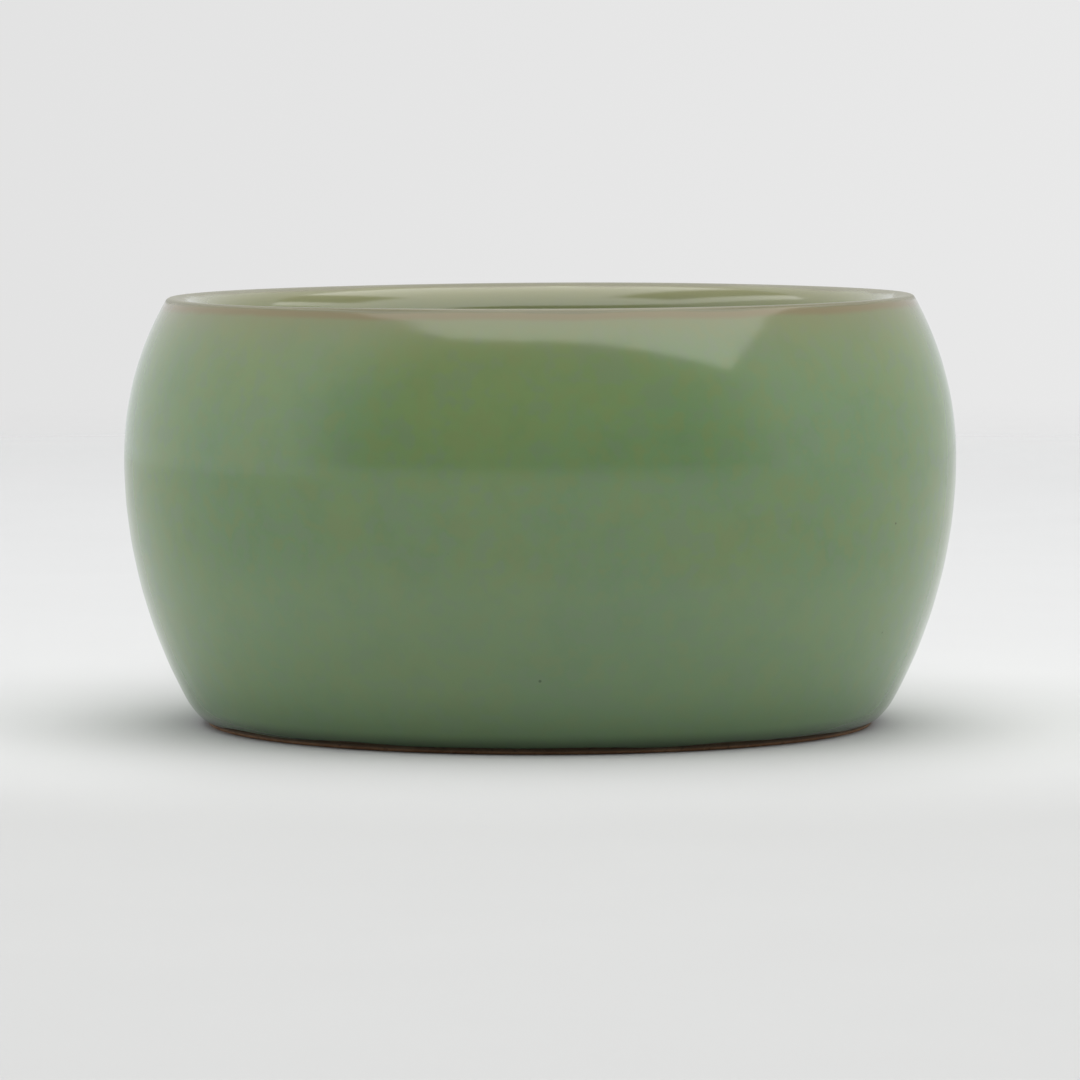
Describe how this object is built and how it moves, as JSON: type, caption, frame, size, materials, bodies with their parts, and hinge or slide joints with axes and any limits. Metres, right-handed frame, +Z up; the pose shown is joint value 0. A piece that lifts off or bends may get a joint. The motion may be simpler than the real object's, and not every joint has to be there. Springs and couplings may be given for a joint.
{
  "type": "matcha bowl",
  "caption": "Barrel-shaped stoneware tea bowl with an inturned lip and a low bare foot ring, glossy celadon glaze inside and out, thin and brown at the lip.",
  "frame": {"origin": "centre of the foot ring, on the surface that the bowl stands on", "axes": "+Z up along the axis on which the bowl was turned; +X and +Y are any two directions across it, because the bowl is round"},
  "size_m": [0.12, 0.12, 0.062],
  "materials": {
    "bare_clay": "matte",
    "celadon_glaze": "gloss",
    "thin_lip_glaze": "gloss"
  },
  "bodies": {
    "root": {"clay_body": "bare_clay", "outside_glaze": "celadon_glaze", "lip_glaze": "thin_lip_glaze", "inside_glaze": "celadon_glaze", "foot_well_glaze": "celadon_glaze"}
  },
  "joints": []
}
